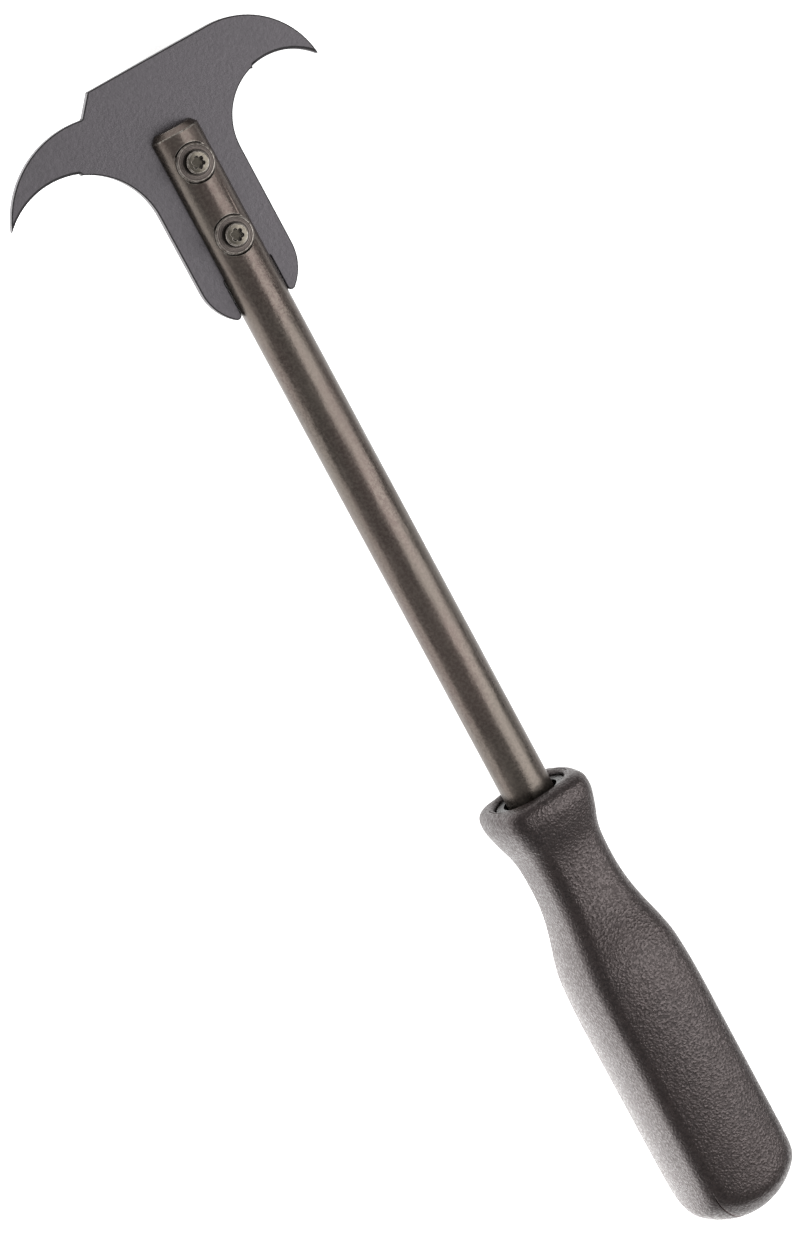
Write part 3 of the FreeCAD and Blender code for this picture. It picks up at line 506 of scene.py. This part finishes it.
def screw_finish(colours):
    """Light plating, a little duller in patches, and painted dark down in the recess as shade."""
    finish = Finish("screw_light_plating", Metallic=1.0, IOR=1.5)
    patches = finish.noise(900.0, detail=3.0, roughness=0.6)
    grit = finish.noise(5200.0, detail=2.0, roughness=0.6)
    tone = finish.blend(finish.ease(patches, 0.35, 0.7), opaque(colours.screw), opaque(colours.screw, 0.72))
    tone = finish.blend(grit * 0.25, tone, opaque(colours.screw, 0.5))
    height = finish.axes()[2]
    # Painted shade: the plating is coloured darker towards the bottom of the recess, where shade falls.
    recess_shade = finish.ease(height, *RECESS_DARK, 1.0, 0.0)
    tone = finish.blend(recess_shade * 0.88, tone, opaque(colours.screw, 0.12))
    finish.feed(
        Base_Color=tone,
        Roughness=0.24 + patches * 0.16,
        Normal=finish.relief(grit, 0.00002, strength=0.5),
    )
    return finish.material


def core_finish(colours):
    """Hard black plastic, glossy, with an uneven moulded face that breaks its reflections into glints."""
    finish = Finish("core_black_plastic", IOR=1.5, Specular_IOR_Level=0.38)
    flow = finish.noise(420.0, detail=3.0, roughness=0.6, distortion=0.8)
    grit = finish.noise(2400.0, detail=2.0)
    tone = finish.blend(flow, opaque(colours.core), opaque(colours.core, 1.8))
    finish.feed(
        Base_Color=tone,
        Roughness=0.10 + flow * 0.16,
        Normal=finish.relief(flow * 0.7 + grit * 0.3, 0.00030, strength=0.8),
    )
    return finish.material


def grip_finish(colours):
    """Pebbled moulded grip: irregular grains about 0.7 mm across, their tops painted lighter as lit and the
    pits between them painted dark and dull as shade.

    The parting line over the butt is a groove with painted shade that darkens it and dulls its reflections.
    """
    finish = Finish("grip_pebbled", IOR=1.54, Specular_Tint=(1.0, 0.87, 0.86, 1.0))
    grains = finish.node(
        "ShaderNodeTexVoronoi", {"feature": "SMOOTH_F1"},
        {"Vector": finish.place, "Scale": 1400.0, "Smoothness": 0.5, "Randomness": 1.0},
    )
    worms = finish.noise(1900.0, detail=1.0, distortion=0.5)
    broad = finish.noise(60.0, detail=2.0)
    height = (1.0 - grains) * 0.5 + worms * 0.8
    # Painted light and shade: the grain tops are coloured lighter and the pits between them darker.
    lit = finish.ease(height, 0.5, 0.95)
    tone = finish.blend(lit, opaque(colours.grip, 0.3), opaque(colours.grip, 1.6))
    tone = finish.blend(finish.ease(broad, 0.35, 0.65) * 0.35, tone, opaque(colours.grip_patch))
    x, y, z = finish.axes()
    across = (x + (z - AXIS_HEIGHT)) * math.sqrt(0.5)
    butt = finish.ease(y, *SEAM_DARK_END, 1.0, 0.0)
    seam = finish.ease(across.size(), *SEAM_DARK, 1.0, 0.0) * butt
    # Painted shade: the parting line's groove is coloured near black, and metal of that colour kills its
    # reflections.
    tone = finish.blend(seam, tone, opaque(colours.grip, 0.1))
    # Painted shade: near-black metal in the pits kills their reflections so that they read as shaded.
    pit_shade = finish.ease(height, 0.50, 0.74, 0.26, 0.0)
    finish.feed(
        Base_Color=tone,
        Metallic=pit_shade.greatest(seam),
        Roughness=finish.ease(height, 0.5, 0.95, 0.42, 0.22),
        Normal=finish.relief(height - seam, 0.00019, strength=0.9),
    )
    return finish.material


# ---------------------------------------------------------------- shapes

def link_mesh(name, mesh, material):
    """Puts a mesh into the scene at the origin with one material."""
    piece = bpy.data.objects.new(name, mesh)
    bpy.context.scene.collection.objects.link(piece)
    mesh.materials.clear()
    mesh.materials.append(material)
    return piece


def softened_copy(node, name, width, material, edge_material):
    """A copy of a CAD node with its doubles merged, its flat faces joined, and its sharp edges rounded.

    The rounded edges take the second material.
    """
    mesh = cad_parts[node].data.copy()
    mesh.name = name
    form = bmesh.new()
    form.from_mesh(mesh)
    bmesh.ops.remove_doubles(form, verts=form.verts, dist=SAME_POINT)
    bmesh.ops.dissolve_limit(
        form, angle_limit=SAME_PLANE, use_dissolve_boundaries=False, verts=form.verts, edges=form.edges,
    )
    form.to_mesh(mesh)
    form.free()
    if mesh.has_custom_normals:
        mesh.attributes.remove(mesh.attributes["custom_normal"])
    mesh.polygons.foreach_set("use_smooth", np.ones(len(mesh.polygons), dtype=bool))
    piece = link_mesh(name, mesh, material)
    mesh.materials.append(edge_material)
    rounding = piece.modifiers.new("edge", "BEVEL")
    rounding.width = width
    rounding.segments = 2
    rounding.material = 1
    rounding.limit_method = "ANGLE"
    rounding.angle_limit = SHARP
    rounding.miter_outer = "MITER_ARC"
    rounding.use_clamp_overlap = False
    rounding.harden_normals = True
    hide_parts(node)
    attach(piece, "root")
    return piece


def grip_side(back):
    """Half width of the grip's flats at distances back from the lip, in metres.

    A cubic through the stations of GRIP_SIDE, with each station's slope from its two neighbours.
    """
    stations = np.array(GRIP_SIDE) * MM
    place, half = stations[:, 0], stations[:, 1]
    slope = np.gradient(half, place)
    slope[-1] = 0.0
    at = np.clip(back, place[0], place[-1])
    left = np.clip(np.searchsorted(place, at, side="right") - 1, 0, len(place) - 2)
    span = place[left + 1] - place[left]
    t = (at - place[left]) / span
    start, end = 2 * t**3 - 3 * t**2 + 1, 3 * t**2 - 2 * t**3
    leave, arrive = t**3 - 2 * t**2 + t, t**3 - t**2
    return (
        start * half[left] + end * half[left + 1] + span * (leave * slope[left] + arrive * slope[left + 1])
    )


def square_reach(half, corner, bulge, turn):
    """Distance from the axis to a round-cornered square with slightly bulging sides, at each angle.

    Each side is an arc of radius bulge whose middle is half away from the axis. Each corner is an arc of
    radius corner that touches the two sides beside it. Both are where a ray meets a circle.
    """
    near = np.maximum(np.abs(np.cos(turn)), np.abs(np.sin(turn)))
    far = np.minimum(np.abs(np.cos(turn)), np.abs(np.sin(turn)))
    side_middle = half - bulge
    side = side_middle * near + np.sqrt(bulge**2 - (side_middle * far) ** 2)
    reach = bulge - corner
    corner_middle = (side_middle + np.sqrt(2 * reach**2 - side_middle**2)) / 2
    arc = corner_middle * (near + far) + np.sqrt(
        np.maximum(corner**2 - (corner_middle * (near - far)) ** 2, 0.0)
    )
    touch_near = side_middle + (corner_middle - side_middle) * bulge / reach
    touch_far = corner_middle * bulge / reach
    return np.where(far * touch_near > near * touch_far, arc, side)


def soft_least(first, second, width):
    """The smaller of two lengths, with the change between them rounded over about width."""
    share = np.clip(0.5 + 0.5 * (second - first) / width, 0.0, 1.0)
    return second + (first - second) * share - width * share * (1.0 - share)


def butt_arcs(sizes, reach, count):
    """Half section of the butt from its apex: the dome's arc, then the side arc out to reach.

    The side arc's centre is its own radius inside reach and both arcs touch where they meet.
    Returns each point's distance from the axis and its distance forward of the apex.
    """
    dome, side = sizes.butt_dome, sizes.butt_side
    drop = math.sqrt((dome - side) ** 2 - (reach - side) ** 2)
    lean = math.atan2(reach - side, drop)
    bend = np.linspace(0.0, math.pi / 2, count)[1:]
    on_dome = bend < lean
    radius = np.where(on_dome, dome * np.sin(bend), reach - side + side * np.sin(bend))
    forward = np.where(on_dome, dome - dome * np.cos(bend), dome - drop - side * np.cos(bend))
    return radius, forward


def grip_rings(sizes, turn):
    """The grip's closed surface as rings, each a reach at every angle and a distance back from the lip.

    They run from the butt's apex over the butt, along the flats, over the lip and the mouth's edge, down
    the mouth, and along the hollow that holds the core to its floor.
    """
    corner, bulge, proud = sizes.corner, sizes.bulge, sizes.proud
    columns = len(turn)
    body = square_reach(BODY_HALF + proud, corner, bulge, turn)
    limit = (BODY_HALF - corner) * math.sqrt(2) + corner + BUTT_MARGIN
    reaches, backs = [], []

    radius, forward = butt_arcs(sizes, limit, BUTT_ROWS)
    cut = soft_least(body[None, :], radius[:, None], sizes.butt_blend)
    seam = np.exp(-((np.sin(turn - SEAM_TURN) * radius[:, None] / SEAM_WIDTH) ** 2))
    fade = np.clip((SEAM_END - forward) / SEAM_FADE, 0.0, 1.0)[:, None]
    reaches.append(cut)
    groove = sizes.seam_depth * seam * fade
    backs.append(np.broadcast_to(GRIP_LENGTH - forward[:, None] - groove, cut.shape))

    start = GRIP_LENGTH - forward[-1]
    back = np.concatenate((
        np.linspace(start, NECK_END, BODY_ROWS)[1:], np.linspace(NECK_END, sizes.lip_round, NECK_ROWS)[1:],
    ))
    half = grip_side(back) + proud
    reaches.append(square_reach(half[:, None], corner, bulge, turn[None, :]))
    backs.append(np.broadcast_to(back[:, None], reaches[-1].shape))

    rim = reaches[-1][-1]
    wall = rim - sizes.mouth_radius
    outer = np.minimum(sizes.lip_round, OUTER_SHARE * wall)
    inner = np.minimum(sizes.mouth_round, INNER_SHARE * wall)
    bend = np.linspace(0.0, math.pi / 2, LIP_ROWS)[1:, None]
    reaches.append(rim - outer * (1.0 - np.cos(bend)))
    backs.append(np.broadcast_to(sizes.lip_round * (1.0 - np.sin(bend)), reaches[-1].shape))
    across = np.linspace(0.0, 1.0, RIM_ROWS)[1:-1, None]
    reaches.append((rim - outer) * (1.0 - across) + (sizes.mouth_radius + inner) * across)
    backs.append(np.zeros_like(reaches[-1]))
    bend = np.linspace(0.0, math.pi / 2, MOUTH_ROWS)[:, None]
    reaches.append(sizes.mouth_radius + inner * (1.0 - np.sin(bend)))
    backs.append(np.broadcast_to(sizes.mouth_round * (1.0 - np.cos(bend)), reaches[-1].shape))

    hollow = np.array(ROUND_HOLLOW) * MM
    reaches.append(np.broadcast_to(hollow[:, :1], (len(hollow), columns)))
    backs.append(np.broadcast_to(hollow[:, 1:], (len(hollow), columns)))
    block = square_reach(SQUARE_HOLLOW_HALF, SQUARE_HOLLOW_CORNER, FLAT_SIDE_RADIUS, turn)
    hollow = np.array(SQUARE_HOLLOW)
    reaches.append(block * hollow[:, :1])
    backs.append(np.broadcast_to(hollow[:, 1:] * MM, (len(hollow), columns)))
    return np.concatenate(reaches), np.concatenate(backs)


def grip_mesh(sizes):
    """The grip as one closed mesh: a ring of points for each row, joined by quads, and a fan at each end."""
    columns = sizes.columns
    turn = np.arange(columns) * (2 * math.pi / columns)
    reach, back = grip_rings(sizes, turn)
    rows = len(reach)
    ring = np.stack((reach * np.cos(turn), LIP - back, AXIS_HEIGHT + reach * np.sin(turn)), axis=-1)
    apex = np.array(((0.0, GRIP_BOX[0][1], AXIS_HEIGHT),))
    floor = np.array(((0.0, LIP - back[-1, 0], AXIS_HEIGHT),))
    points = np.concatenate((apex, ring.reshape(-1, 3), floor))

    here = np.arange(columns)
    beside = (here + 1) % columns
    step = 1 + columns * np.arange(rows - 1)[:, None]
    quads = np.stack((step + here, step + columns + here, step + columns + beside, step + beside), axis=-1)
    first = np.stack((np.zeros(columns, dtype=int), 1 + here, 1 + beside), axis=-1)
    last_row = 1 + columns * (rows - 1)
    end = np.full(columns, len(points) - 1)
    last = np.stack((end, last_row + beside, last_row + here), axis=-1)
    faces = quads.reshape(-1, 4).tolist() + first.tolist() + last.tolist()

    mesh = bpy.data.meshes.new("grip_shell")
    mesh.from_pydata(points.tolist(), [], faces)
    mesh.polygons.foreach_set("use_smooth", np.ones(len(mesh.polygons), dtype=bool))
    mesh.update()
    return mesh


# ---------------------------------------------------------------- operators

class SEALPULLER_OT_blade(bpy.types.Operator):
    """Rounds the edges of the hooked blade and gives it its satin oxide finish"""

    bl_idname = "sealpuller.blade"
    bl_label = "Hooked blade"

    def execute(self, context):
        scene = context.scene
        colours = scene.puller_colours
        piece = softened_copy(
            "hook_blade", "blade_plate", scene.puller_metal.blade_edge, blade_finish(colours),
            dark_edge_finish(colours),
        )
        return {"FINISHED"}


class SEALPULLER_OT_shaft(bpy.types.Operator):
    """Rounds the edges of the slit shaft and gives it its gun-metal finish"""

    bl_idname = "sealpuller.shaft"
    bl_label = "Shaft"

    def execute(self, context):
        scene = context.scene
        colours = scene.puller_colours
        piece = softened_copy(
            "shaft", "shaft_bar", scene.puller_metal.shaft_edge, shaft_finish(colours),
            worn_edge_finish(colours),
        )
        return {"FINISHED"}


class SEALPULLER_OT_fasteners(bpy.types.Operator):
    """Rounds the edges of the screws and washers and gives them their finishes"""

    bl_idname = "sealpuller.fasteners"
    bl_label = "Screws and washers"

    def execute(self, context):
        scene = context.scene
        edge = scene.puller_metal.fastener_edge
        plating = screw_finish(scene.puller_colours)
        oxide = washer_finish(scene.puller_colours)
        worn = worn_edge_finish(scene.puller_colours)
        for place in ("front", "rear"):
            screw = softened_copy(f"{place}_screw", f"{place}_screw_bright", edge, plating, worn)
            washer = softened_copy(f"{place}_washer", f"{place}_washer_turned", edge, oxide, worn)
        return {"FINISHED"}


class SEALPULLER_OT_core(bpy.types.Operator):
    """Gives the handle's core its hard black plastic"""

    bl_idname = "sealpuller.core"
    bl_label = "Handle core"

    def execute(self, context):
        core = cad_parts["handle_core"]
        core.data.materials.clear()
        core.data.materials.append(core_finish(context.scene.puller_colours))
        return {"FINISHED"}


class SEALPULLER_OT_grip(bpy.types.Operator):
    """Builds the moulded grip and gives it its pebbled finish"""

    bl_idname = "sealpuller.grip"
    bl_label = "Grip"

    def execute(self, context):
        scene = context.scene
        piece = link_mesh("moulded_grip", grip_mesh(scene.puller_grip), grip_finish(scene.puller_colours))
        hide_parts("grip")
        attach(piece, "root")
        return {"FINISHED"}


def add_light(name, centre, towards, size, power):
    """A square or oblong area light at centre, facing towards."""
    data = bpy.data.lights.new(name, "AREA")
    data.shape = "RECTANGLE"
    data.size, data.size_y = size
    data.energy = power
    light = bpy.data.objects.new(name, data)
    bpy.context.scene.collection.objects.link(light)
    facing = Vector(towards) - Vector(centre)
    light.matrix_world = Matrix.Translation(centre) @ facing.to_track_quat("-Z", "Y").to_matrix().to_4x4()


def camera_axes(roll):
    """The picture's right and up, the direction back to the camera, and the right before the roll."""
    level = math.cos(CAMERA_FAR_LEAN)
    back = Vector((
        -math.sin(CAMERA_LEFT_LEAN) * level, math.sin(CAMERA_FAR_LEAN), math.cos(CAMERA_LEFT_LEAN) * level,
    ))
    along = Vector((0.0, 1.0, 0.0))
    up = (along - back * along.dot(back)).normalized()
    right = up.cross(back)
    picture_right = right * math.cos(roll) - up * math.sin(roll)
    picture_up = right * math.sin(roll) + up * math.cos(roll)
    return picture_right, picture_up, back, right


class SEALPULLER_OT_stage(bpy.types.Operator):
    """Adds the pale floor, the soft lights and the camera"""

    bl_idname = "sealpuller.stage"
    bl_label = "Stage"

    def execute(self, context):
        scene = context.scene
        stage = scene.puller_stage
        self.add_floor(stage)
        self.add_world(scene, stage)
        picture_right, picture_up, back, right = camera_axes(stage.roll)
        target = VIEW_MIDDLE + right * VIEW_SHIFT

        key_place = VIEW_MIDDLE + KEY_TOWARDS * KEY_DISTANCE
        add_light("key_soft_box", key_place, VIEW_MIDDLE, KEY_SIZE, stage.key_power)
        add_light("back_soft_box", BACK_PLACE, VIEW_MIDDLE, BACK_SIZE, stage.back_power)

        data = bpy.data.cameras.new("camera")
        data.lens = stage.lens
        data.sensor_width = 36.0
        camera = bpy.data.objects.new("camera", data)
        scene.collection.objects.link(camera)
        turned = Matrix((picture_right, picture_up, back)).transposed().to_4x4()
        camera.matrix_world = Matrix.Translation(target + back * stage.distance) @ turned
        scene.camera = camera
        scene.view_settings.view_transform = "Standard"
        return {"FINISHED"}

    @staticmethod
    def add_floor(stage):
        """A flat sheet a little below the tool's rest plane, with a faint paper grain and a soft glow.

        The glow is strongest close by the handle's left side, weaker by the shaft's, and weakest on the
        tool's right and beyond the butt.
        """
        finish = Finish("floor_paper", Roughness=0.9, Specular_IOR_Level=0.1, Emission_Strength=stage.glow)
        grain = finish.noise(260.0, detail=2.0)
        tone = finish.blend(grain, opaque(stage.floor), opaque(stage.floor, 0.985))
        x, y = finish.axes()[:2]
        right = finish.ease(x, *GLOW_RIGHT)
        beyond = finish.ease(y, *GLOW_BEYOND, 1.0, 0.0)
        handle = finish.ease(y, *GLOW_HANDLE, 1.0, 0.0)
        close = finish.ease(x, *GLOW_CLOSE)
        left = finish.blend(handle * close, opaque(stage.floor, stage.glow_shaft), tone)
        dim = opaque(stage.floor, stage.glow_right)
        finish.feed(Base_Color=tone, Emission_Color=finish.blend(right.greatest(beyond), left, dim))

        stations = FLOOR_SQUARES + 1
        across, along = np.meshgrid(
            np.linspace(*FLOOR_SIDES, stations), np.linspace(*FLOOR_ENDS, stations), indexing="ij",
        )
        points = np.stack((across.ravel(), along.ravel(), np.full(across.size, FLOOR_HEIGHT)), axis=-1)
        here = np.arange(FLOOR_SQUARES)
        corner = (here[:, None] * stations + here).ravel()
        faces = np.stack((corner, corner + stations, corner + stations + 1, corner + 1), axis=-1)
        mesh = bpy.data.meshes.new("floor_sheet")
        mesh.from_pydata(points.tolist(), [], faces.tolist())
        link_mesh("floor_sheet", mesh, finish.material)

    @staticmethod
    def add_world(scene, stage):
        """Even white light from all sides."""
        world = bpy.data.worlds.new("room")
        world.use_nodes = True
        background = world.node_tree.nodes["Background"]
        background.inputs["Color"].default_value = (1.0, 1.0, 1.0, 1.0)
        background.inputs["Strength"].default_value = stage.sky
        scene.world = world


class SEALPULLER_PT_panel(bpy.types.Panel):
    """Lists the seal puller's pieces, with the sizes and colours that they take"""

    bl_idname = "SEALPULLER_PT_panel"
    bl_label = "Seal Puller"
    bl_space_type = "VIEW_3D"
    bl_region_type = "UI"
    bl_category = "Seal Puller"

    def draw(self, context):
        for operator in OPERATORS:
            self.layout.operator(operator.bl_idname)
        for group in GROUPS:
            settings = getattr(context.scene, group)
            for name in settings.bl_rna.properties.keys():
                if name not in ("rna_type", "name"):
                    self.layout.prop(settings, name)


GROUPS = {
    "puller_grip": GripSizes,
    "puller_metal": MetalSizes,
    "puller_colours": FinishColours,
    "puller_stage": StageSettings,
}
OPERATORS = (
    SEALPULLER_OT_blade,
    SEALPULLER_OT_shaft,
    SEALPULLER_OT_fasteners,
    SEALPULLER_OT_core,
    SEALPULLER_OT_grip,
    SEALPULLER_OT_stage,
)
CLASSES = tuple(GROUPS.values()) + OPERATORS + (SEALPULLER_PT_panel,)


def register():
    for item in CLASSES:
        bpy.utils.register_class(item)
    for name, group in GROUPS.items():
        setattr(bpy.types.Scene, name, PointerProperty(type=group))


def unregister():
    for name in GROUPS:
        delattr(bpy.types.Scene, name)
    for item in reversed(CLASSES):
        bpy.utils.unregister_class(item)


def main():
    register()
    bpy.ops.sealpuller.blade()
    bpy.ops.sealpuller.shaft()
    bpy.ops.sealpuller.fasteners()
    bpy.ops.sealpuller.core()
    bpy.ops.sealpuller.grip()
    bpy.ops.sealpuller.stage()


if __name__ == "__main__":
    main()
